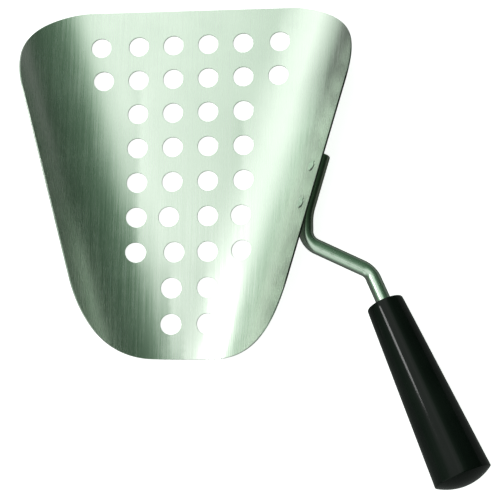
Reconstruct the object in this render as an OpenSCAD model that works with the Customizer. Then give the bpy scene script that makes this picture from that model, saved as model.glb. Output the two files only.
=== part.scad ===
// Perforated sheet scoop with a bent side rod and a tapered grip.
// The scoop is one flat blank, punched and then rolled up on both sides. A round
// rod is welded along the outside of the right wall, leads off it, bends twice and
// ends in a blind bore of the grip.
//
// Frame: the origin is on the underside of the floor, in its middle plane.
// +Y runs towards the wide mouth, +X towards the rod, +Z up out of the scoop.

/* [Blank] */
// Thickness of the sheet
sheet_t = 1; // [0.8:0.1:1.2]
// Distance from the origin to the straight mouth edge
mouth_y = 112; // [108:1:116]
// Distance from the origin to the straight spout edge
spout_y = 110; // [106:1:112]
// Radius of the two corners beside the mouth, in the flat blank
mouth_corner_r = 49; // [44:1:52]
// Radius of the two corners beside the spout, in the flat blank
spout_corner_r = 58; // [54:1:60]

/* [Rolled walls] */
// Half width of the flat floor at the origin
floor_half = 34; // [33.5:0.5:36]
// Angle between each bend line and the middle plane
bend_skew = 16; // [15:0.5:16.5]
// Inner radius of the rolled walls
roll_r = 50.8; // [48:0.2:54]
// Angle through which each wall is rolled up
roll_angle = 66.7; // [62:0.1:70]

/* [Perforations] */
// Diameter of each punched hole
punch_d = 12.7; // [10:0.1:14]
// Distance between neighbouring holes, along and across
punch_pitch = 22.225; // [22:0.025:23]
// How far the whole pattern sits off the middle plane
punch_offset = 1.5; // [0:0.1:2]
// How far the whole pattern sits towards the mouth
punch_advance = 0.3; // [0:0.1:1]
// How far the whole pattern is turned on the blank, in degrees
punch_turn = 0.75; // [0:0.05:1]

/* [Rod] */
// Diameter of the rod
rod_d = 9; // [8:0.1:9.6]
// How far round the rolled wall the rod lies, in degrees up from the floor
rod_angle = 54; // [52:0.5:56]
// End of the welded stretch, measured along the bend line
rod_end = 24.5; // [22:0.5:28]
// Corner of the gentle bend off the wall, measured along the bend line
lead_off_at = -13.5; // [-16:0.5:-12]
// Middle-line radius of the gentle bend
lead_off_r = 40; // [30:1:50]
// Middle-line radius of both elbows
elbow_r = 11; // [9:0.5:12]
// Length of rod that sits in the grip
tang_length = 84; // [60:1:90]
// Diameter of each weld spot
weld_d = 7; // [6:0.5:8]

/* [Grip] */
// Length of the grip's tapered side
grip_length = 108; // [100:1:115]
// Diameter at the end where the rod goes in
grip_front_d = 22; // [20:0.5:24]
// Diameter at the butt
grip_rear_d = 33; // [30:0.5:35]
// Height of the domed butt
butt_rise = 5; // [3:0.5:7]
// Angle between the grip and the middle plane, seen from above
grip_splay = 22.7; // [20:0.1:26]
// Angle at which the grip climbs towards its butt
grip_rise = 9.5; // [8:0.5:12]

/* [Hidden] */
$fn = 96;

past = 5;               // how far a cutting shape runs past what it cuts
bend_swell = 0.05;      // how much thicker the bent stretches are, in radius
lap = 0.6;              // how far each straight stretch runs on inside a bend
edge_break = 1;         // chamfer on the ends of the rod and the grip
weld_depth = 1.9;       // how far each weld spot reaches past the sheet
weld_rise = 0.5;        // how far each weld spot stands proud inside the wall
edge_clear = 0.1;       // how far the outline stays off a wall's square-cut edge
mouth_steps = 22;       // straight pieces in each corner beside the mouth
spout_steps = 18;       // straight pieces in each corner beside the spout
rod_r = rod_d / 2;
half_roll = roll_angle / 2;
roll_arc = roll_r * roll_angle * PI / 180;      // width of a wall in the flat blank
outer_r = roll_r + sheet_t;
bore_depth = tang_length + 2;

// Rows of the pattern from the mouth to the spout: how many holes each one has
holes_in_row = [6, 6, 4, 4, 4, 4, 4, 2, 2];
middle_row = 4;
// Holes that were punched a little to one side: row, column, shift along X
slips = [[0, 0, -2], [0, 5, 1], [5, 1, -2], [5, 3, -1.5], [6, 1, 1.5], [6, 3, -1]];
// Places of the two weld spots along the bend line
weld_spots = [15.5, -8];
// Corners of the two elbows
first_elbow = [74.4, -42, 18.4];
second_elbow = [112, -59.5, 15.5];
// Distance from the second elbow's corner to the grip
grip_gap = 21.5;

function unit(v) = v / norm(v);

// Bend frame: across the bend line, along it, and up. These two functions go
// from the flat blank into it, and from it to the part's own frame.
function across_bend(p) = (p.x - floor_half) * cos(bend_skew) - p.y * sin(bend_skew);
function along_bend(p) = (p.x - floor_half) * sin(bend_skew) + p.y * cos(bend_skew);
function from_bend(p) = [
    floor_half + p.x * cos(bend_skew) + p.y * sin(bend_skew),
    p.y * cos(bend_skew) - p.x * sin(bend_skew),
    p.z
];
// A point at a given radius from the roll's axis, in the bend frame
function on_roll(angle, along, radius) = [
    radius * sin(angle),
    along,
    outer_r - radius * cos(angle)
];

function arc_points(centre, radius, from, to, steps) = [
    for (i = [0 : steps])
        let (a = from + (to - from) * i / steps)
        [centre.x + radius * cos(a), centre.y + radius * sin(a)]
];
// Centre of a blank corner that touches the wall's long edge
function corner_centre(y, radius) = [
    floor_half + (roll_arc - radius + y * sin(bend_skew)) / cos(bend_skew),
    y
];
// Right half of the blank, from the mouth to the spout
blank_half = concat(
    [[0, mouth_y]],
    arc_points(corner_centre(mouth_y - mouth_corner_r, mouth_corner_r), mouth_corner_r,
        90, -bend_skew, mouth_steps),
    arc_points(corner_centre(spout_corner_r - spout_y, spout_corner_r), spout_corner_r,
        -bend_skew, -90, spout_steps),
    [[0, -spout_y]]
);

// Where a blank point lands across the slanted plane through a rolled wall's two
// edges, once it is rolled. It is taken on the outer face, and kept just clear of
// the wall's square-cut long edge.
function across_chord(s) =
    let (angle = s * 180 / PI / roll_r)
    s < 0 ? s * cos(half_roll) - sheet_t * sin(half_roll)
          : outer_r * sin(angle - half_roll) + roll_r * sin(half_roll) + edge_clear;
chord_outline = [for (p = blank_half) [across_chord(across_bend(p)), along_bend(p)]];

module in_bend_frame() {
    translate([floor_half, 0, 0])
        rotate([0, 0, -bend_skew])
            children();
}

// Flat floor, between the two bend lines
module floor_plate() {
    far = mouth_y + past;
    near = spout_y + past;
    far_x = floor_half + far * tan(bend_skew);
    near_x = floor_half - near * tan(bend_skew);
    linear_extrude(sheet_t)
        intersection() {
            polygon(concat(blank_half, [for (i = [len(blank_half) - 2 : -1 : 1])
                [-blank_half[i].x, blank_half[i].y]]));
            polygon([[-near_x, -near], [near_x, -near], [far_x, far], [-far_x, far]]);
        }
}

// One rolled wall, trimmed to the blank's rounded corners
module wall() {
    reach = mouth_y + spout_y;
    in_bend_frame()
        intersection() {
            translate([0, 0, outer_r])
                rotate([90, 0, 0])
                    rotate([0, 0, -90])
                        rotate_extrude(angle = roll_angle)
                            translate([roll_r, -reach])
                                square([sheet_t, 2 * reach]);
            translate([0, 0, sheet_t])
                rotate([0, -half_roll, 0])
                    linear_extrude(3 * roll_r, center = true)
                        polygon(concat([[-past, chord_outline[0].y]],
                            [for (p = chord_outline) if (p.x > -past) p],
                            [[-past, chord_outline[len(chord_outline) - 1].y]]));
        }
}

// One punched hole, square to the sheet where the sheet ends up
module punched_hole(p) {
    side = p.x < 0 ? 1 : 0;
    flat = [abs(p.x), p.y];
    s = across_bend(flat);
    angle = max(s, 0) * 180 / PI / roll_r;
    mirror([side, 0, 0])
        in_bend_frame()
            translate([min(s, 0), along_bend(flat), outer_r])
                rotate([0, -angle, 0])
                    translate([0, 0, -outer_r - past])
                        cylinder(d = punch_d, h = sheet_t + 2 * past);
}

module perforations() {
    for (row = [0 : len(holes_in_row) - 1]) {
        count = holes_in_row[row];
        for (column = [0 : count - 1]) {
            slip = [for (hole = slips) if (hole[0] == row && hole[1] == column) hole[2]];
            x = (column - (count - 1) / 2) * punch_pitch + (len(slip) > 0 ? slip[0] : 0);
            y = (middle_row - row) * punch_pitch;
            punched_hole([
                punch_offset + x * cos(punch_turn) - y * sin(punch_turn),
                punch_advance + x * sin(punch_turn) + y * cos(punch_turn)
            ]);
        }
    }
}

// Round plug along the wall's own normal, at a weld spot, from one radius to another
module weld_plug(along, from, to) {
    in_bend_frame()
        translate([0, along, outer_r])
            rotate([0, 180 - rod_angle, 0])
                translate([0, 0, from])
                    cylinder(d = weld_d, h = to - from);
}

module scoop_shell() {
    color([0.72, 0.76, 0.72])
        difference() {
            union() {
                floor_plate();
                wall();
                mirror([1, 0, 0])
                    wall();
            }
            perforations();
            for (along = weld_spots)
                weld_plug(along, roll_r - past, outer_r + past);
        }
}

// Rod's middle line. It clears the wall by the extra thickness of the bends.
rod_line = outer_r + rod_r + bend_swell;
grip_way = [
    sin(grip_splay) * cos(grip_rise),
    -cos(grip_splay) * cos(grip_rise),
    sin(grip_rise)
];
grip_front = second_elbow + grip_gap * grip_way;
rod_corners = [
    from_bend(on_roll(rod_angle, rod_end, rod_line)),
    from_bend(on_roll(rod_angle, lead_off_at, rod_line)),
    first_elbow,
    second_elbow,
    grip_front + tang_length * grip_way
];
bend_radii = [lead_off_r, elbow_r, elbow_r];
last_bend = len(bend_radii);

// Direction of the rod from one of its corners to the next
function way_from(i) = unit(rod_corners[i + 1] - rod_corners[i]);
function turn_at(i) = acos(way_from(i - 1) * way_from(i));
// Distance from a corner to where its bend starts
function bend_reach(i) = bend_radii[i - 1] * tan(turn_at(i) / 2);
// Ends of the straight stretches before and after a corner
function straight_end(i) = rod_corners[i] - (bend_reach(i) - lap) * way_from(i - 1);
function straight_start(i) = rod_corners[i] + (bend_reach(i) - lap) * way_from(i);

// Puts its children at a point, with their Z axis along a direction
module aim(at, way) {
    translate(at)
        rotate([0, acos(way.z), atan2(way.y, way.x)])
            children();
}

module straight(from, to) {
    aim(from, unit(to - from))
        cylinder(d = rod_d, h = norm(to - from));
}

// End stretch of the rod, from a point to its chamfered tip
module rod_tip(from, to) {
    length = norm(to - from);
    aim(from, unit(to - from)) {
        cylinder(d = rod_d, h = length - edge_break);
        translate([0, 0, length - edge_break])
            cylinder(d1 = rod_d, d2 = rod_d - 2 * edge_break, h = edge_break);
    }
}

// Round bend at one of the rod's corners
module bend(i) {
    radius = bend_radii[i - 1];
    way_in = way_from(i - 1);
    out = unit(way_in * cos(turn_at(i)) - way_from(i));
    axis = cross(out, way_in);
    centre = rod_corners[i] - bend_reach(i) * way_in - radius * out;
    multmatrix([
        [out.x, way_in.x, axis.x, centre.x],
        [out.y, way_in.y, axis.y, centre.y],
        [out.z, way_in.z, axis.z, centre.z],
        [0, 0, 0, 1]
    ])
        rotate_extrude(angle = turn_at(i))
            translate([radius, 0])
                circle(r = rod_r + bend_swell);
}

module handle_rod() {
    color([0.5, 0.53, 0.5])
        difference() {
            union() {
                rod_tip(straight_end(1), rod_corners[0]);
                for (i = [1 : last_bend - 1])
                    straight(straight_start(i), straight_end(i + 1));
                rod_tip(straight_start(last_bend), rod_corners[last_bend + 1]);
                for (i = [1 : last_bend])
                    bend(i);
            }
            for (along = weld_spots)
                weld_plug(along, roll_r, outer_r + weld_depth);
        }
}

// Weld metal through the sheet and into the rod, a little proud inside the wall
module spot_welds() {
    color([0.6, 0.63, 0.6])
        for (along = weld_spots)
            weld_plug(along, roll_r - weld_rise, outer_r + weld_depth);
}

// Tapered grip with a domed butt and a blind bore for the rod
module grip() {
    front_r = grip_front_d / 2;
    rear_r = grip_rear_d / 2;
    dome_r = (pow(rear_r, 2) + pow(butt_rise, 2)) / (2 * butt_rise);
    color([0.06, 0.07, 0.06])
        aim(grip_front, grip_way)
            difference() {
                rotate_extrude()
                    union() {
                        polygon([
                            [0, 0], [front_r - edge_break, 0], [front_r, edge_break],
                            [rear_r, grip_length], [0, grip_length]
                        ]);
                        intersection() {
                            translate([0, grip_length + butt_rise - dome_r])
                                circle(r = dome_r);
                            translate([0, grip_length])
                                square([rear_r, butt_rise]);
                        }
                    }
                translate([0, 0, -past])
                    cylinder(d = rod_d, h = bore_depth + past);
            }
}

scoop_shell();
handle_rod();
spot_welds();
grip();
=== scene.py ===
"""Looks of the perforated sheet scoop: visual meshes, materials, light and camera."""
import math

import bpy
import numpy as np
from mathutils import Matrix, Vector, geometry, noise


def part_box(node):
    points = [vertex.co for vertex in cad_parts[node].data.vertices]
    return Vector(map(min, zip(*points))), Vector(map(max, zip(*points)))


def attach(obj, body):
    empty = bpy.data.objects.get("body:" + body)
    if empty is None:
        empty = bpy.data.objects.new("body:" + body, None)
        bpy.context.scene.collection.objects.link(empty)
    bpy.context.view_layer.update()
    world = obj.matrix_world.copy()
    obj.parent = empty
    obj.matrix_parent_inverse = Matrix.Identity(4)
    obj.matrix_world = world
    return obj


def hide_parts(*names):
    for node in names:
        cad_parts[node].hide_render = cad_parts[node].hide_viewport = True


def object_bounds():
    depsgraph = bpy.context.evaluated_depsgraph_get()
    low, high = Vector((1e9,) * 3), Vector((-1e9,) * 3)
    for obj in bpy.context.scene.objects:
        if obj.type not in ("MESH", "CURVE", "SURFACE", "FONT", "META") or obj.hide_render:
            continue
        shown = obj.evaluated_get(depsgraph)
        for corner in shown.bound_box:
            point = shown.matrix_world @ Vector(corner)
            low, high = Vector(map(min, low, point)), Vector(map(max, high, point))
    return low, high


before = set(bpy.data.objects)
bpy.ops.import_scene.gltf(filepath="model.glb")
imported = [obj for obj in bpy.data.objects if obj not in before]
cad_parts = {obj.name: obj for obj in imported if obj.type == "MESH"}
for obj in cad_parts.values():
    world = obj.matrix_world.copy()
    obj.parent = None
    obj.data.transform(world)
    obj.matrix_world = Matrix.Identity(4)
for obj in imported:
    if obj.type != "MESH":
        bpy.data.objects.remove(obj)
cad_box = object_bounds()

MM = 0.001

# --- Dimensions, in metres. The ends of the sheet come from the frame.
SHEET_LOW, SHEET_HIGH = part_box("scoop_shell")
MOUTH_Y = SHEET_HIGH.y - 0.01 * MM
SPOUT_Y = SHEET_LOW.y
SHEET_T = 1.0 * MM
MOUTH_CORNER_R = 49.0 * MM
SPOUT_CORNER_R = 58.0 * MM
FLOOR_HALF = 34.0 * MM
BEND_SKEW = math.radians(16.0)
ROLL_R = 50.8 * MM
ROLL_ANGLE = math.radians(66.7)
OUTER_R = ROLL_R + SHEET_T
ROLL_ARC = ROLL_R * ROLL_ANGLE
EASE_IN = 26.0 * MM
EASE_SHIFT = 0.25 * MM

PUNCH_R = 6.35 * MM
PUNCH_PITCH = 22.225 * MM
PUNCH_OFFSET = 1.5 * MM
PUNCH_ADVANCE = 0.3 * MM
PUNCH_TURN = math.radians(0.75)
HOLES_IN_ROW = (6, 6, 4, 4, 4, 4, 4, 2, 2)
MIDDLE_ROW = 4
# Holes that are out of line: row and column, and the slip along X in millimetres
SLIPS = {(0, 0): -2.0, (0, 5): 1.0, (5, 1): -2.0, (5, 3): -1.5, (6, 1): 1.5, (6, 3): -1.0}

ROD_R = 4.5 * MM
ROD_ANGLE = math.radians(54.0)
ROD_LINE = OUTER_R + ROD_R + 0.05 * MM
ROD_END = 24.5 * MM
LEAD_OFF_AT = -13.5 * MM
LEAD_OFF_R = 40.0 * MM
ELBOW_R = 11.0 * MM
FIRST_ELBOW = Vector((74.4, -42.0, 18.4)) * MM
SECOND_ELBOW = Vector((112.0, -59.5, 15.5)) * MM
GRIP_GAP = 21.5 * MM
TANG_LENGTH = 84.0 * MM
WELD_SPOTS = (15.5 * MM, -8.0 * MM)
WELD_R = 3.5 * MM
WELD_DEPTH = 1.9 * MM

GRIP_LENGTH = 108.0 * MM
GRIP_FRONT_R = 11.0 * MM
GRIP_REAR_R = 16.5 * MM
BUTT_RISE = 5.0 * MM
GRIP_SPLAY = math.radians(22.7)
GRIP_RISE = math.radians(9.5)


# --- The rolled sheet: from the flat blank to its place
def across_bend(x, y):
    return (x - FLOOR_HALF) * math.cos(BEND_SKEW) - y * math.sin(BEND_SKEW)


def along_bend(x, y):
    return (x - FLOOR_HALF) * math.sin(BEND_SKEW) + y * math.cos(BEND_SKEW)


def from_bend(across, along, up):
    c, s = math.cos(BEND_SKEW), math.sin(BEND_SKEW)
    return Vector((FLOOR_HALF + across * c + along * s, along * c - across * s, up))


def on_roll(angle, along, radius):
    """A point at a given radius from the roll's axis, in the part's frame."""
    return from_bend(radius * math.sin(angle), along, OUTER_R - radius * math.cos(angle))


CURVE_SAMPLES = 1500
CURVE_MARGIN = 5 * MM


def roll_curve():
    """The inner face across a bend: distance in the blank, and the angle, run and rise there.

    The curvature grows evenly over EASE_IN instead of starting all at once.
    """
    start = EASE_SHIFT - EASE_IN / 2
    across = np.linspace(start, ROLL_ARC + CURVE_MARGIN, CURVE_SAMPLES)
    curvature = np.clip((across - start) / EASE_IN, 0.0, 1.0) / ROLL_R
    step = across[1] - across[0]

    def summed(values):
        return np.concatenate([[0.0], np.cumsum((values[1:] + values[:-1]) / 2) * step])

    angle = summed(curvature)
    run = start + summed(np.cos(angle))
    rise = SHEET_T + summed(np.sin(angle))
    return across, angle, run, rise


CURVE_AT, CURVE_ANGLE, CURVE_RUN, CURVE_RISE = roll_curve()


def rolled(x, y, h, normal):
    """Where a point of the blank lands, h above its underside, and where a normal there points."""
    side = -1.0 if x < 0 else 1.0
    x, nx, ny, nz = abs(x), side * normal[0], normal[1], normal[2]
    across = across_bend(x, y)
    angle = float(np.interp(across, CURVE_AT, CURVE_ANGLE))
    run = float(np.interp(across, CURVE_AT, CURVE_RUN)) + min(across - CURVE_AT[0], 0.0)
    rise = float(np.interp(across, CURVE_AT, CURVE_RISE))
    depth = SHEET_T - h
    point = from_bend(
        run + depth * math.sin(angle),
        along_bend(x, y),
        rise - depth * math.cos(angle),
    )
    c, s = math.cos(BEND_SKEW), math.sin(BEND_SKEW)
    n_across, n_along = nx * c - ny * s, nx * s + ny * c
    r_across = n_across * math.cos(angle) - nz * math.sin(angle)
    r_up = n_across * math.sin(angle) + nz * math.cos(angle)
    turned = Vector((r_across * c + n_along * s, n_along * c - r_across * s, r_up))
    point.x *= side
    turned.x *= side
    return point, turned


def arc(centre, radius, start, end, steps):
    return [
        (centre[0] + radius * math.cos(a), centre[1] + radius * math.sin(a))
        for a in np.linspace(start, end, steps)
    ]


def corner_centre(y, radius):
    across = ROLL_ARC - radius
    x = FLOOR_HALF + (across + y * math.sin(BEND_SKEW)) / math.cos(BEND_SKEW)
    return x, y


def resampled(points, step):
    """The closed loop through points, with new points an even distance of about step apart."""
    loop = np.array(points + points[:1])
    lengths = np.hypot(*np.diff(loop, axis=0).T)
    at = np.concatenate([[0.0], np.cumsum(lengths)])
    count = int(round(at[-1] / step))
    even = np.arange(count) * at[-1] / count
    return np.column_stack([np.interp(even, at, loop[:, 0]), np.interp(even, at, loop[:, 1])])


SPOUT_CORNER_STEPS = 90
MOUTH_CORNER_STEPS = 120


def outline_loop(step):
    """The blank's outer edge, anticlockwise, and its outward normals."""
    top = corner_centre(MOUTH_Y - MOUTH_CORNER_R, MOUTH_CORNER_R)
    low = corner_centre(SPOUT_Y + SPOUT_CORNER_R, SPOUT_CORNER_R)
    right = arc(low, SPOUT_CORNER_R, -math.pi / 2, -BEND_SKEW, SPOUT_CORNER_STEPS)
    right += arc(top, MOUTH_CORNER_R, -BEND_SKEW, math.pi / 2, MOUTH_CORNER_STEPS)
    points = resampled(right + [(-x, y) for x, y in reversed(right)], step)
    along = np.roll(points, -1, axis=0) - np.roll(points, 1, axis=0)
    normals = np.column_stack([along[:, 1], -along[:, 0]])
    return points, normals / np.linalg.norm(normals, axis=1)[:, None]


def hole_loop(centre, radius, count):
    """The edge of a round hole, clockwise, and its normals, which point into the hole."""
    angles = -np.arange(count) * 2 * math.pi / count
    ring = np.column_stack([np.cos(angles), np.sin(angles)])
    return np.array(centre) + radius * ring, -ring


def punch_centres():
    centres = []
    for row, count in enumerate(HOLES_IN_ROW):
        for column in range(count):
            x = (column - (count - 1) / 2) * PUNCH_PITCH + SLIPS.get((row, column), 0.0) * MM
            y = (MIDDLE_ROW - row) * PUNCH_PITCH
            c, s = math.cos(PUNCH_TURN), math.sin(PUNCH_TURN)
            centres.append((PUNCH_OFFSET + x * c - y * s, PUNCH_ADVANCE + x * s + y * c))
    return centres


def weld_centres():
    """Places of the weld spots in the flat blank."""
    across = ROLL_R * ROD_ANGLE
    return [tuple(from_bend(across, along, 0.0).xy) for along in WELD_SPOTS]


# --- Mesh helpers
def add_mesh(name, points, faces, normals=None, uvs=None):
    """A smooth mesh object. normals and uvs have one entry for each vertex."""
    mesh = bpy.data.meshes.new(name)
    mesh.from_pydata([tuple(p) for p in points], [], faces)
    mesh.update()
    if uvs is not None:
        layer = mesh.uv_layers.new(name="blank")
        corners = np.empty(len(mesh.loops), np.int32)
        mesh.loops.foreach_get("vertex_index", corners)
        layer.data.foreach_set("uv", np.asarray(uvs, np.float32)[corners].ravel())
    mesh.shade_smooth()
    if normals is not None:
        mesh.normals_split_custom_set_from_vertices([tuple(n) for n in normals])
    piece = bpy.data.objects.new(name, mesh)
    bpy.context.scene.collection.objects.link(piece)
    return piece


def strip_faces(lower, upper):
    """Quads between two closed rings of vertex numbers of the same length."""
    count = len(lower)
    return [
        (lower[i], lower[(i + 1) % count], upper[(i + 1) % count], upper[i])
        for i in range(count)
    ]


# --- The sheet
EDGE_ROUND = 0.16 * MM
EDGE_SUPPORT = 0.18 * MM
EDGE_STEPS = 4
GRID_STEP = 3.0 * MM
GRID_HALF = 160 * MM
OUTLINE_STEP = 1.6 * MM
HOLE_SIDES = 56
WELD_HOLE_SIDES = 40
WELD_CLEARANCE = 0.04 * MM
# How far a face's inner points stay from an edge
EDGE_CLEARANCE = 1.1 * MM
# A triangle is metal when its middle is outside this share of every hole's area
HOLE_SHARE = 0.98


def edge_profile():
    """The rounded cut edge, inner face to outer: (inset, height, outward share, up share)."""
    profile = [(EDGE_ROUND + EDGE_SUPPORT, SHEET_T, 0.0, 1.0)]
    for centre_h, first, last in (
        (SHEET_T - EDGE_ROUND, math.pi / 2, 0.0),
        (EDGE_ROUND, 0.0, -math.pi / 2),
    ):
        for a in np.linspace(first, last, EDGE_STEPS):
            inset = EDGE_ROUND * (1 - math.cos(a))
            profile.append((inset, centre_h + EDGE_ROUND * math.sin(a), math.cos(a), math.sin(a)))
    profile.append((EDGE_ROUND + EDGE_SUPPORT, 0.0, 0.0, -1.0))
    return profile


# Faint creases along the hole columns: place, first and last Y, depth, all in millimetres
CREASES = (
    (-31.0, -50.0, 70.0, 0.30), (-9.0, -105.0, -55.0, 0.26),
    (34.5, -50.0, 45.0, 0.20), (12.5, -105.0, -55.0, 0.20), (57.0, 60.0, 105.0, 0.12),
)
CREASE_WIDTH = 6.0 * MM
CREASE_FADE = 12.0 * MM
CREASE_ROUND = 0.8 * MM
# How far the sheet stands off its true form: on the floor, less on the walls, and two slow waves
STAND_OFF = 0.40 * MM
WALL_DROP = 0.12 * MM
WAVE, LONG_WAVE = 0.07 * MM, 0.10 * MM
WALL_RAMP = 20 * MM


def crease_depth(x, y):
    depth = 0.0
    for place, low, high, deep in CREASES:
        fade = min(y - low * MM, high * MM - y) / CREASE_FADE
        share = 1 / (1 + math.exp(-4 * min(max(fade, -4.0), 4.0)))
        away = math.hypot(x - place * MM, CREASE_ROUND) / CREASE_WIDTH
        depth += deep * MM * share * math.exp(-away)
    return depth


def sheet_lift(x, y):
    """How far the sheet stands off its true form: creases and a little unevenness."""
    slow = noise.noise(Vector((x * 22.0, y * 9.0, 3.1)))
    slower = noise.noise(Vector((x * 9.0, y * 5.0, 7.7)))
    on_wall = min(max(across_bend(abs(x), y) / WALL_RAMP, 0.0), 1.0)
    stand_off = STAND_OFF - WALL_DROP * on_wall + WAVE * slow + LONG_WAVE * slower
    return stand_off - crease_depth(x, y)


def sheet_point(x, y, h, normal):
    """A finished point and normal of the sheet, its unevenness included."""
    step = 0.5 * MM
    lift = sheet_lift(x, y)
    slope_x = (sheet_lift(x + step, y) - sheet_lift(x - step, y)) / (2 * step)
    slope_y = (sheet_lift(x, y + step) - sheet_lift(x, y - step)) / (2 * step)
    tilt = np.array(normal, float)
    tilt[:2] -= np.array([slope_x, slope_y]) * tilt[2]
    tilt /= np.linalg.norm(tilt)
    return rolled(x, y, h + lift, tuple(tilt))


def inside_sheet(points, loops):
    """Which points lie on the blank, clear of every edge."""
    outline, _ = loops[0]
    keep = np.ones(len(points), bool)
    for i, p in enumerate(points):
        a, b = outline, np.roll(outline, -1, axis=0)
        crossing = (a[:, 1] > p[1]) != (b[:, 1] > p[1])
        at = (b[:, 0] - a[:, 0]) * (p[1] - a[:, 1]) / (b[:, 1] - a[:, 1] + 1e-30) + a[:, 0]
        odd = np.count_nonzero(crossing & (p[0] < at)) % 2
        near = np.min(np.hypot(*(outline - p).T)) < EDGE_CLEARANCE
        keep[i] = odd == 1 and not near
    for ring, _ in loops[1:]:
        middle = ring.mean(axis=0)
        reach = np.hypot(*(ring[0] - middle)) + EDGE_CLEARANCE
        keep &= np.hypot(*(points - middle).T) > reach
    return keep


def build_sheet():
    loops = [outline_loop(OUTLINE_STEP)]
    loops += [hole_loop(c, PUNCH_R, HOLE_SIDES) for c in punch_centres()]
    loops += [hole_loop(c, WELD_R + WELD_CLEARANCE, WELD_HOLE_SIDES) for c in weld_centres()]
    profile = edge_profile()
    inset = profile[0][0]

    # Both faces share one flat triangulation between the edges' support loops
    flat, edges = [], []
    for points, normals in loops:
        first = len(flat)
        flat += [tuple(p) for p in points - normals * inset]
        edges += [(first + i, first + (i + 1) % len(points)) for i in range(len(points))]
    xs = np.arange(-GRID_HALF, GRID_HALF, GRID_STEP)
    ys = np.arange(SPOUT_Y, MOUTH_Y, GRID_STEP * math.sqrt(3) / 2)
    grid = np.array([(x + (row % 2) * GRID_STEP / 2, y) for row, y in enumerate(ys) for x in xs])
    supports = [(p - n * inset, n) for p, n in loops]
    grid = grid[inside_sheet(grid, supports)]
    flat += [tuple(p) for p in grid]
    out = geometry.delaunay_2d_cdt([Vector(p) for p in flat], edges, [], 1, 1e-7)
    flat_points, triangles = out[0], out[2]
    holes = [(ring.mean(axis=0), np.hypot(*(ring[0] - ring.mean(axis=0)))) for ring, _ in supports[1:]]

    def on_metal(triangle):
        middle = sum((flat_points[i] for i in triangle), Vector((0.0, 0.0))) / 3
        return all(
            (middle.x - c[0]) ** 2 + (middle.y - c[1]) ** 2 > r * r * HOLE_SHARE for c, r in holes
        )

    triangles = [t for t in triangles if on_metal(t)]
    source = {}
    for new, old_list in enumerate(out[3]):
        for old in old_list:
            source[old] = new

    points, normals, uvs, faces = [], [], [], []

    def put(x, y, h, normal):
        point, turned = sheet_point(x, y, h, normal)
        points.append(point)
        normals.append(turned)
        uvs.append((x, y))
        return len(points) - 1

    inner = [put(p.x, p.y, SHEET_T, (0.0, 0.0, 1.0)) for p in flat_points]
    outer = [put(p.x, p.y, 0.0, (0.0, 0.0, -1.0)) for p in flat_points]
    for t in triangles:
        area = (flat_points[t[1]] - flat_points[t[0]]).cross(flat_points[t[2]] - flat_points[t[0]])
        a, b, c = t if area > 0 else tuple(reversed(t))
        faces.append((inner[a], inner[b], inner[c]))
        faces.append((outer[c], outer[b], outer[a]))
    first = 0
    for ring, outward in loops:
        numbers = [source[first + i] for i in range(len(ring))]
        first += len(ring)
        previous = [inner[i] for i in numbers]
        for inset_here, h, share, up in profile[1:-1]:
            current = [
                put(*(p - n * inset_here), h, (n[0] * share, n[1] * share, up))
                for p, n in zip(ring, outward)
            ]
            faces += strip_faces(current, previous)
            previous = current
        faces += strip_faces([outer[i] for i in numbers], previous)
    return add_mesh("rolled_sheet", points, faces, normals, uvs)


# --- The rod
ROD_SIDES = 48
ROD_STEP = 2.0 * MM
BEND_STEPS = 26
BEND_FLATTENING = 0.05
TIP_ROUND = 1.2 * MM


def rod_corners():
    start = on_roll(ROD_ANGLE, ROD_END, ROD_LINE)
    lead_off = on_roll(ROD_ANGLE, LEAD_OFF_AT, ROD_LINE)
    end = SECOND_ELBOW + grip_way() * (GRIP_GAP + TANG_LENGTH)
    return [start, lead_off, FIRST_ELBOW, SECOND_ELBOW, end]


def grip_way():
    level = math.cos(GRIP_RISE)
    return Vector((
        math.sin(GRIP_SPLAY) * level,
        -math.cos(GRIP_SPLAY) * level,
        math.sin(GRIP_RISE),
    ))


def rod_path():
    """Points along the rod's middle line: (point, direction, how bent, way into the bend)."""
    corners = rod_corners()
    radii = (LEAD_OFF_R, ELBOW_R, ELBOW_R)
    path = []
    here = corners[0]
    for i, radius in enumerate(radii, 1):
        way_in = (corners[i] - corners[i - 1]).normalized()
        way_out = (corners[i + 1] - corners[i]).normalized()
        angle = way_in.angle(way_out)
        cut = radius * math.tan(angle / 2)
        start = corners[i] - way_in * cut
        inward = (way_out - way_in * math.cos(angle)).normalized()
        count = max(2, int((start - here).length / ROD_STEP))
        path += [(here.lerp(start, k / count), way_in, 0.0, inward) for k in range(count)]
        centre = start + inward * radius
        for k in range(BEND_STEPS):
            a = angle * k / BEND_STEPS
            pull = inward * math.cos(a) - way_in * math.sin(a)
            way = way_in * math.cos(a) + inward * math.sin(a)
            share = math.sin(math.pi * k / BEND_STEPS) * ELBOW_R / radius
            path.append((centre - pull * radius, way, share, pull))
        here = corners[i] + way_out * cut
    way = (corners[-1] - corners[-2]).normalized()
    count = int((corners[-1] - here).length / ROD_STEP)
    path += [(here.lerp(corners[-1], k / count), way, 0.0, path[-1][3]) for k in range(count + 1)]
    return path


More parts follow.
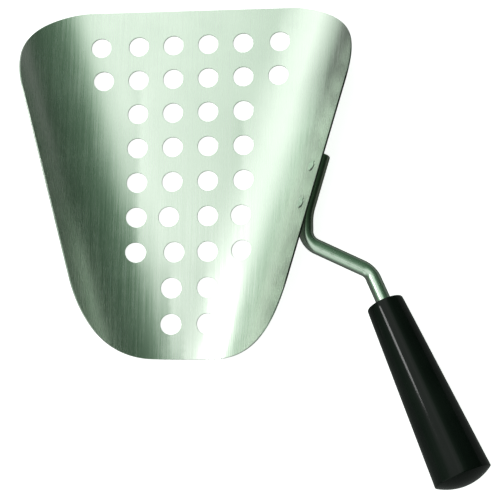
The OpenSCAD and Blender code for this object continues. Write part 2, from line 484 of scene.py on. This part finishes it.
def build_rod():
    path = rod_path()
    points, uvs, faces = [], [], []
    side = None
    travelled = 0.0
    last = None
    stations = []
    for point, way, bent, pull in path:
        if side is None:
            side = pull - way * pull.dot(way)
        side = (side - way * side.dot(way)).normalized()
        travelled += 0.0 if last is None else (point - last).length
        last = point
        flat_way = (pull - way * pull.dot(way)).normalized()
        stations.append((point, way, side.copy(), way.cross(side), bent, flat_way, travelled))

    def swept(station, scale, shift=0.0):
        point, way, across, up, bent, flat_way, v = station
        first = len(points)
        for k in range(ROD_SIDES):
            a = 2 * math.pi * k / ROD_SIDES
            out = across * math.cos(a) + up * math.sin(a)
            squeeze = BEND_FLATTENING * bent * out.dot(flat_way) ** 2
            points.append(point + way * shift + out * ROD_R * scale * (1 - squeeze))
            uvs.append((k / ROD_SIDES, v + shift))
        return list(range(first, first + ROD_SIDES))

    def tip(station, sign):
        """Rings from the middle of a rounded end out to its full width."""
        made = []
        for a in np.linspace(math.pi / 2, 0.0, 6):
            shrink = TIP_ROUND * (1 - math.cos(a)) / ROD_R
            made.append(swept(station, 1 - shrink, sign * TIP_ROUND * (math.sin(a) - 1)))
        for share in (0.75, 0.4):
            made.insert(0, swept(station, (1 - TIP_ROUND / ROD_R) * share, 0.0))
        return made

    rings = tip(stations[0], -1)
    rings += [swept(s, 1.0) for s in stations[1:-1]]
    rings += list(reversed(tip(stations[-1], 1)))
    for lower, upper in zip(rings, rings[1:]):
        faces += strip_faces(upper, lower)
    for rim, station, backwards in ((rings[0], stations[0], False), (rings[-1], stations[-1], True)):
        points.append(station[0])
        uvs.append((0.5, station[6]))
        middle = len(points) - 1
        for i in range(ROD_SIDES):
            pair = (rim[i], rim[(i + 1) % ROD_SIDES])
            faces.append((middle, pair[0], pair[1]) if backwards else (middle, pair[1], pair[0]))
    return add_mesh("bent_rod", points, faces, uvs=uvs)


# --- The grip, a turned shape, and the weld spots
def lathe(name, profile, at, way, sides):
    """Turns (radius, distance) pairs about an axis. The first and last lie on it."""
    turn = Vector((0.0, 0.0, 1.0)).rotation_difference(way).to_matrix()
    points, faces, rings = [], [], []
    for radius, distance in profile:
        if radius < 1e-7:
            points.append(at + turn @ Vector((0.0, 0.0, distance)))
            rings.append([len(points) - 1])
            continue
        first = len(points)
        for k in range(sides):
            a = 2 * math.pi * k / sides
            points.append(at + turn @ Vector((radius * math.cos(a), radius * math.sin(a), distance)))
        rings.append(list(range(first, first + sides)))
    for low, high in zip(rings, rings[1:]):
        if len(low) == 1:
            faces += [(low[0], high[(i + 1) % sides], high[i]) for i in range(sides)]
        elif len(high) == 1:
            faces += [(high[0], low[i], low[(i + 1) % sides]) for i in range(sides)]
        else:
            faces += strip_faces(low, high)
    return add_mesh(name, points, faces)


def rounded(centre, radius, start, end, steps):
    """An arc between two angles in degrees."""
    return arc(centre, radius, math.radians(start), math.radians(end), steps)


GRIP_SIDES = 128
GRIP_ROWS = 36
BORE_ROWS = 8


def build_grip():
    lip, rim = 1.0 * MM, 0.7 * MM
    bore_r, bore_depth = ROD_R + 0.02 * MM, TANG_LENGTH + 1.0 * MM
    taper = math.degrees(math.atan2(GRIP_REAR_R - GRIP_FRONT_R, GRIP_LENGTH))
    slope = (GRIP_REAR_R - GRIP_FRONT_R) / GRIP_LENGTH
    dome_r = (GRIP_REAR_R ** 2 + BUTT_RISE ** 2) / (2 * BUTT_RISE)
    dome_top = GRIP_LENGTH + BUTT_RISE - 0.02 * MM
    dome_half = math.degrees(math.asin((GRIP_REAR_R - rim) / dome_r))
    profile = [(0.0, bore_depth), (bore_r * 0.6, bore_depth), (bore_r, bore_depth - 1 * MM)]
    profile += [(bore_r, bore_depth * k / BORE_ROWS) for k in range(BORE_ROWS - 1, 0, -1)]
    profile += rounded((bore_r + 0.5 * MM, 0.5 * MM), 0.5 * MM, 180, 270, 4)
    profile += [(bore_r + 2 * MM, 0.0)]
    profile += rounded((GRIP_FRONT_R - lip, lip), lip, 270, 360 - taper, 7)
    for k in range(1, GRIP_ROWS):
        distance = lip + (GRIP_LENGTH - 2 * lip) * k / GRIP_ROWS
        profile.append((GRIP_FRONT_R + slope * distance, distance))
    profile += rounded((GRIP_REAR_R - rim, GRIP_LENGTH - rim * 0.6), rim, -taper, 90 - dome_half, 6)
    profile += rounded((0.0, dome_top - dome_r), dome_r, 90 - dome_half * 0.96, 90, 18)
    profile[-1] = (0.0, dome_top)
    at = SECOND_ELBOW + grip_way() * GRIP_GAP
    return lathe("tapered_grip", profile, at, grip_way(), GRIP_SIDES)


WELD_SIDES = 56
WELD_RISE = 0.34 * MM
# The dish from its middle outwards: share of the spot's radius, share of the rim's rise
WELD_PAD = ((0.25, 0.0), (0.5, 0.0), (0.68, 0.05), (0.80, 0.62), (0.88, 1.0), (0.95, 0.9), (1.0, 0.2))
# How far the middle of the dish lies below the wall
WELD_SINK = 0.12 * MM


def weld_rim(angle, seed):
    """How strongly the dish's rim stands up, all round: it fades on one side and has one gap."""
    if angle >= math.pi:
        angle -= 2 * math.pi
    gap = math.exp(-((angle - 0.42) / 0.16) ** 2)
    ragged = noise.noise(Vector((2.2 * math.cos(angle), 2.2 * math.sin(angle), seed)))
    return (0.25 + 0.75 * max(0.0, math.cos(angle + 0.35)) + 0.2 * ragged) * (1 - 0.9 * gap)


def build_weld(number, centre):
    """A shallow dish of weld metal, its ragged rim proud on one side, on a plug into the rod."""
    place, inward = sheet_point(centre[0], centre[1], SHEET_T, (0.0, 0.0, 1.0))
    inward.normalize()
    upslope = (Vector((0.0, 0.0, 1.0)) - inward * inward.z).normalized()
    along = inward.cross(upslope)
    points, faces, rings = [place - inward * WELD_SINK], [], []
    uvs = [(0.0, 0.0)]

    def ring(radius, height_at):
        first = len(points)
        for k in range(WELD_SIDES):
            a = 2 * math.pi * k / WELD_SIDES
            spoke = upslope * math.cos(a) + along * math.sin(a)
            points.append(place + spoke * radius + inward * height_at(a))
            uvs.append((radius / WELD_R * math.cos(a), radius / WELD_R * math.sin(a)))
        rings.append(list(range(first, first + WELD_SIDES)))

    for share, level in WELD_PAD:
        ring(WELD_R * share, lambda a: WELD_RISE * level * weld_rim(a, number) - WELD_SINK)
    for share, depth in ((1.0, SHEET_T), (0.95, SHEET_T + WELD_DEPTH)):
        ring(WELD_R * share, lambda a: -depth)
    faces += [(0, rings[0][k], rings[0][(k + 1) % WELD_SIDES]) for k in range(WELD_SIDES)]
    for low, high in zip(rings, rings[1:]):
        faces += strip_faces(high, low)
    points.append(place - inward * (SHEET_T + WELD_DEPTH))
    uvs.append((0.0, 0.0))
    foot, end = rings[-1], len(points) - 1
    faces += [(end, foot[(k + 1) % WELD_SIDES], foot[k]) for k in range(WELD_SIDES)]
    return add_mesh(f"weld_spot_{number}", points, faces, uvs=uvs)


# --- Materials
# Depth of the fine relief on every surface
FINE_RELIEF = 0.04 * MM


class Nodes:
    """A small helper to lay out one material's nodes."""

    def __init__(self, name):
        self.material = bpy.data.materials.new(name)
        self.material.use_nodes = True
        self.tree = self.material.node_tree
        self.shader = self.tree.nodes["Principled BSDF"]

    def add(self, kind, inputs=None, **settings):
        made = self.tree.nodes.new("ShaderNode" + kind)
        for key, value in settings.items():
            setattr(made, key, value)
        for key, value in (inputs or {}).items():
            self.feed(made, key, value)
        return made

    def feed(self, made, key, value):
        if isinstance(value, bpy.types.NodeSocket):
            self.tree.links.new(value, made.inputs[key])
        else:
            made.inputs[key].default_value = value

    def noise(self, vector, scale, detail=2.0, roughness=0.5):
        made = self.add("TexNoise", {"Vector": vector, "Scale": scale, "Detail": detail,
                                     "Roughness": roughness})
        return made.outputs["Fac"]

    def stretched(self, vector, scale):
        made = self.add("Mapping", {"Vector": vector, "Scale": scale})
        return made.outputs["Vector"]

    def span(self, value, low, high, start=0.0, end=1.0):
        """value, from start to end, turned into low to high."""
        made = self.add("MapRange", {"Value": value, "From Min": start, "From Max": end,
                                     "To Min": low, "To Max": high})
        return made.outputs["Result"]

    def maths(self, operation, a, b):
        return self.add("Math", {0: a, 1: b}, operation=operation).outputs[0]

    def blend(self, factor, a, b):
        made = self.add("Mix", data_type="RGBA")
        self.feed(made, 0, factor)
        self.feed(made, 6, a)
        self.feed(made, 7, b)
        return made.outputs[2]

    def bump(self, height, strength):
        inputs = {"Height": height, "Strength": strength, "Distance": FINE_RELIEF}
        return self.add("Bump", inputs).outputs["Normal"]


def painted_edge_shade(n, blank):
    """The share of its colour that the sheet keeps under painted shade: all of it, but less at its long
    edges, and less again on the right near the mouth and along the right cut edge.
    """
    axes = n.add("SeparateXYZ", {0: blank}).outputs
    out = n.maths("MULTIPLY", n.maths("ABSOLUTE", axes["X"], 0.0), math.cos(BEND_SKEW))
    across = n.maths("SUBTRACT", out, n.maths("MULTIPLY", axes["Y"], math.sin(BEND_SKEW)))
    edge = ROLL_ARC + FLOOR_HALF * math.cos(BEND_SKEW)
    # More painted shade on the right side only: on the wall near the mouth and along its cut edge
    right = n.maths("GREATER_THAN", axes["X"], 0.0)
    mouth = n.maths("MULTIPLY", n.span(axes["Y"], 0.0, 0.48, 30 * MM, 62 * MM), right)
    wide = n.maths("MULTIPLY", n.span(across, 0.0, 1.0, edge - 42 * MM, edge - 20 * MM), mouth)
    cut_edge_shade = n.maths("MULTIPLY", n.span(across, 0.0, 0.88, edge - 0.6 * MM, edge - 0.15 * MM), right)
    # Painted shade towards both long edges
    kept = n.span(across, 1.0, 0.72, edge - 26 * MM, edge - 2 * MM)
    for painted_shade in (wide, cut_edge_shade):
        kept = n.maths("MULTIPLY", kept, n.maths("SUBTRACT", 1.0, painted_shade))
    return kept


def sheet_material():
    n = Nodes("brushed_sheet")
    blank = n.add("UVMap", uv_map="blank").outputs["UV"]
    fine = n.noise(n.stretched(blank, (2600.0, 22.0, 1.0)), 1.0, 3.0)
    broad = n.noise(n.stretched(blank, (700.0, 9.0, 1.0)), 1.0, 4.0, 0.65)
    cloud = n.noise(blank, 28.0, 3.0, 0.6)
    streaks = n.maths("ADD", n.maths("MULTIPLY", fine, 0.55), n.maths("MULTIPLY", broad, 0.45))
    colour = n.blend(n.span(streaks, 0.0, 1.0, 0.38, 0.62), (0.84, 0.90, 0.82, 1), (0.94, 0.99, 0.92, 1))
    colour = n.blend(n.span(cloud, 0.0, 0.5, 0.4, 0.75), colour, (0.88, 0.95, 0.87, 1))
    # The sheet's colour, darkened towards black by painted shade near its long edges
    n.feed(n.shader, "Base Color", n.blend(painted_edge_shade(n, blank), (0.0, 0.0, 0.0, 1), colour))
    rough = n.maths("ADD", n.span(streaks, 0.20, 0.30, 0.38, 0.62), n.span(cloud, -0.03, 0.03, 0.3, 0.7))
    n.feed(n.shader, "Roughness", rough)
    n.feed(n.shader, "Metallic", 1.0)
    n.feed(n.shader, "Anisotropic", 0.8)
    tangent = n.add("Tangent", direction_type="UV_MAP", uv_map="blank").outputs["Tangent"]
    n.feed(n.shader, "Tangent", tangent)
    n.feed(n.shader, "Normal", n.bump(streaks, 0.25))
    return n.material


def rod_material():
    n = Nodes("rod_steel")
    line = n.add("UVMap", uv_map="blank").outputs["UV"]
    drawn = n.noise(n.stretched(line, (90.0, 9.0, 1.0)), 1.0, 3.0)
    place = n.add("TexCoord").outputs["Object"]
    spots = n.noise(place, 260.0, 3.0, 0.6)
    colour = n.blend(n.span(drawn, 0.0, 1.0, 0.35, 0.65), (0.54, 0.64, 0.55, 1), (0.72, 0.83, 0.73, 1))
    colour = n.blend(n.span(spots, 0.0, 0.6, 0.55, 0.8), colour, (0.34, 0.39, 0.33, 1))
    travelled = n.add("SeparateXYZ", {0: line}).outputs["Y"]
    ragged = n.maths("ADD", travelled, n.span(spots, -3 * MM, 3 * MM, 0.3, 0.7))
    # The rod's colour is darker along its first 38 mm, the stretch welded by the wall, and fades back by
    # 58 mm
    darker_stretch = n.span(ragged, 1.0, 0.0, 38 * MM, 58 * MM)
    colour = n.blend(darker_stretch, colour, (0.34, 0.39, 0.30, 1))
    n.feed(n.shader, "Base Color", colour)
    rough = n.maths("ADD", n.span(drawn, 0.18, 0.25, 0.3, 0.7), n.span(spots, 0.0, 0.1, 0.5, 0.8))
    n.feed(n.shader, "Roughness", rough)
    n.feed(n.shader, "Metallic", 1.0)
    n.feed(n.shader, "Specular Tint", (0.35, 0.42, 0.36, 1))
    height = n.maths("ADD", drawn, n.maths("MULTIPLY", spots, 0.4))
    n.feed(n.shader, "Normal", n.bump(height, 0.2))
    return n.material


# Painted shade on each weld spot, a dark crescent on one side of its rim: its side, and the gap in it,
# in the spot's own unit circle
CRESCENT_SHADE_WAY = (0.94, -0.34, 0.0)
CRESCENT_SHADE_GAP = (0.80, 0.37, 0.0)


def weld_material():
    n = Nodes("weld_metal")
    place = n.add("TexCoord").outputs["Object"]
    grain = n.noise(place, 900.0, 4.0, 0.6)
    tint = n.noise(place, 260.0, 2.0)
    colour = n.blend(n.span(tint, 0.0, 1.0, 0.4, 0.65), (0.74, 0.84, 0.75, 1), (0.82, 0.92, 0.83, 1))
    spot = n.add("UVMap", uv_map="blank").outputs["UV"]
    radius = n.add("VectorMath", {0: spot}, operation="LENGTH").outputs["Value"]
    towards = n.add("VectorMath", {0: spot, 1: CRESCENT_SHADE_WAY}, operation="DOT_PRODUCT").outputs["Value"]
    gap = n.add("VectorMath", {0: spot, 1: CRESCENT_SHADE_GAP}, operation="DISTANCE").outputs["Value"]
    rim, side = n.span(radius, 0.0, 1.0, 0.52, 0.66), n.span(towards, 0.0, 1.0, 0.05, 0.35)
    crescent_shade = n.maths("MULTIPLY", rim, side)
    crescent_shade = n.maths("MULTIPLY", crescent_shade, n.span(gap, 0.0, 1.0, 0.14, 0.26))
    # A dark crescent painted on one side of the rim, standing in for the shade under it
    colour = n.blend(crescent_shade, colour, (0.015, 0.02, 0.015, 1))
    n.feed(n.shader, "Base Color", colour)
    n.feed(n.shader, "Roughness", n.span(grain, 0.24, 0.34, 0.3, 0.7))
    n.feed(n.shader, "Metallic", 1.0)
    n.feed(n.shader, "Normal", n.bump(grain, 0.3))
    return n.material


def grip_material():
    n = Nodes("grip_plastic")
    place = n.add("TexCoord").outputs["Object"]
    flow = n.noise(place, 35.0, 3.0)
    fine = n.noise(place, 1400.0, 2.0)
    dark, light = (0.003, 0.005, 0.004, 1), (0.006, 0.009, 0.007, 1)
    colour = n.blend(n.span(flow, 0.0, 1.0, 0.35, 0.7), dark, light)
    n.feed(n.shader, "Base Color", colour)
    rough = n.maths("ADD", n.span(flow, 0.06, 0.09, 0.3, 0.7), n.span(fine, 0.0, 0.05, 0.4, 0.8))
    n.feed(n.shader, "Roughness", rough)
    n.feed(n.shader, "IOR", 1.45)
    n.feed(n.shader, "Specular IOR Level", 0.24)
    height = n.maths("ADD", fine, n.maths("MULTIPLY", flow, 6.0))
    n.feed(n.shader, "Normal", n.bump(height, 0.08))
    return n.material


FLOOR_GLOW = 0.86
# How much of the floor's light the gloss of the metal and the grip picks up
FLOOR_IN_GLOSS = 0.10


def floor_material():
    """A pale panel lit softly from inside, so that shadows stay faint, and dim in reflections."""
    n = Nodes("pale_floor")
    place = n.add("TexCoord").outputs["Object"]
    lit = n.span(n.add("LightPath").outputs["Is Glossy Ray"], 1.0, FLOOR_IN_GLOSS)
    mottle = n.blend(n.noise(place, 6.0, 2.0), (0.93, 0.93, 0.93, 1), (0.96, 0.96, 0.96, 1))
    n.feed(n.shader, "Base Color", n.blend(lit, (0.06, 0.06, 0.06, 1), mottle))
    n.feed(n.shader, "Roughness", 0.9)
    n.feed(n.shader, "Emission Color", (1.0, 1.0, 1.0, 1))
    n.feed(n.shader, "Emission Strength", n.maths("MULTIPLY", lit, FLOOR_GLOW))
    return n.material


# --- Stage, light and camera
FLOOR_SIZE = 12.0


def build_stage():
    half = FLOOR_SIZE / 2
    points = [(-half, -half, 0), (half, -half, 0), (half, half, 0), (-half, half, 0)]
    floor = add_mesh("pale_floor", points, [(0, 1, 2, 3)])
    floor.location.z = cad_box[0][2]
    floor.data.materials.append(floor_material())


# Sky brightness from the left horizon (-1) over the zenith (0) to the right horizon (1)
SKY = (
    (-1.0, 0.28), (-0.88, 0.50), (-0.72, 0.96), (-0.54, 1.04), (-0.36, 0.97), (-0.22, 1.06),
    (-0.12, 0.87), (-0.05, 0.80), (0.07, 0.34), (0.20, 0.21), (0.36, 0.11), (1.0, 0.03),
)
SKY_TOP = 1.2
# How much red, green and blue the dim parts of the sky lose
SHADE_TINT = (0.50, 0.0, 0.40)
# The fill near the front horizon: its brightness, and from and to along Y
FRONT_FILL = 0.50
FRONT_FROM, FRONT_TO = -0.76, -0.92
# The sky's strength grows towards the back: from and to along Y, and the two strengths
BACK_LIFT = (0.10, 0.40, SKY_TOP * 0.88, SKY_TOP * 1.17)
LAMP_PLACE, LAMP_TARGET, LAMP_SIZE = (-1.2, 0.3, 1.3), (0.1, -0.05, 0.0), (0.22, 0.42)
SOFTBOX_POWER = 2.9

# The camera: focal length in millimetres, three turns in degrees, and its place
CAMERA_LENS = 82.8
CAMERA_TURNS = (10.685, 5.85, -0.527)
CAMERA_PLACE = (0.1107, -0.17253, 0.68578)


def add_softbox(name, place, target, size, power):
    """An oval lamp: one strong reflection on the grip, and light for the floor."""
    light = bpy.data.lights.new(name, "AREA")
    light.shape = "ELLIPSE"
    light.size, light.size_y = size
    light.energy = power
    lamp = bpy.data.objects.new(name, light)
    lamp.location = place
    lamp.rotation_euler = (Vector(target) - Vector(place)).to_track_quat("-Z", "Y").to_euler()
    bpy.context.scene.collection.objects.link(lamp)


def sky_colour(level):
    """A share of the sky's full brightness, greener where it is dim."""
    share = level / SKY_TOP
    return [share * (1 - tint * (1 - share)) for tint in SHADE_TINT] + [1]


def build_sky():
    """A sky that is bright left of the zenith, dark on the right, and filled in at the front."""
    world = bpy.data.worlds.new("studio")
    bpy.context.scene.world = world
    world.use_nodes = True
    nodes, links = world.node_tree.nodes, world.node_tree.links
    direction = nodes.new("ShaderNodeTexCoord").outputs["Generated"]
    split = nodes.new("ShaderNodeSeparateXYZ")
    links.new(direction, split.inputs[0])

    across = nodes.new("ShaderNodeMapRange")
    across.inputs["From Min"].default_value = -1.0
    links.new(split.outputs["X"], across.inputs["Value"])
    ramp = nodes.new("ShaderNodeValToRGB")
    ramp.color_ramp.interpolation = "EASE"
    stops = ramp.color_ramp.elements
    while len(stops) < len(SKY):
        stops.new(0.5)
    for stop, (x, level) in zip(stops, SKY):
        stop.position = (x + 1) / 2
        stop.color = sky_colour(level)
    links.new(across.outputs["Result"], ramp.inputs[0])

    front = nodes.new("ShaderNodeMapRange")
    front.interpolation_type = "SMOOTHSTEP"
    front.inputs["From Min"].default_value = FRONT_FROM
    front.inputs["From Max"].default_value = FRONT_TO
    links.new(split.outputs["Y"], front.inputs["Value"])
    mix = nodes.new("ShaderNodeMix")
    mix.data_type = "RGBA"
    links.new(front.outputs["Result"], mix.inputs[0])
    links.new(ramp.outputs["Color"], mix.inputs[6])
    mix.inputs[7].default_value = sky_colour(FRONT_FILL)
    links.new(mix.outputs[2], nodes["Background"].inputs["Color"])
    back = nodes.new("ShaderNodeMapRange")
    for name, value in zip(("From Min", "From Max", "To Min", "To Max"), BACK_LIFT):
        back.inputs[name].default_value = value
    links.new(split.outputs["Y"], back.inputs["Value"])
    links.new(back.outputs["Result"], nodes["Background"].inputs["Strength"])


def build_light():
    build_sky()
    add_softbox("left_lamp", LAMP_PLACE, LAMP_TARGET, LAMP_SIZE, SOFTBOX_POWER)
    bpy.context.scene.view_settings.view_transform = "Standard"


def build_camera():
    camera = bpy.data.cameras.new("camera")
    camera.sensor_width = 36.0
    camera.lens = CAMERA_LENS
    holder = bpy.data.objects.new("camera", camera)
    holder.rotation_mode = "ZYX"
    holder.rotation_euler = [math.radians(a) for a in CAMERA_TURNS]
    holder.location = CAMERA_PLACE
    bpy.context.scene.collection.objects.link(holder)
    bpy.context.scene.camera = holder


# --- Assembly
def finish_piece(piece, node, material):
    piece.data.materials.append(material)
    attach(piece, "root")
    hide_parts(node)


build_stage()
build_camera()
build_light()
finish_piece(build_sheet(), "scoop_shell", sheet_material())
finish_piece(build_rod(), "handle_rod", rod_material())
finish_piece(build_grip(), "grip", grip_material())
weld_metal = weld_material()
for number, centre in enumerate(weld_centres(), 1):
    finish_piece(build_weld(number, centre), "spot_welds", weld_metal)
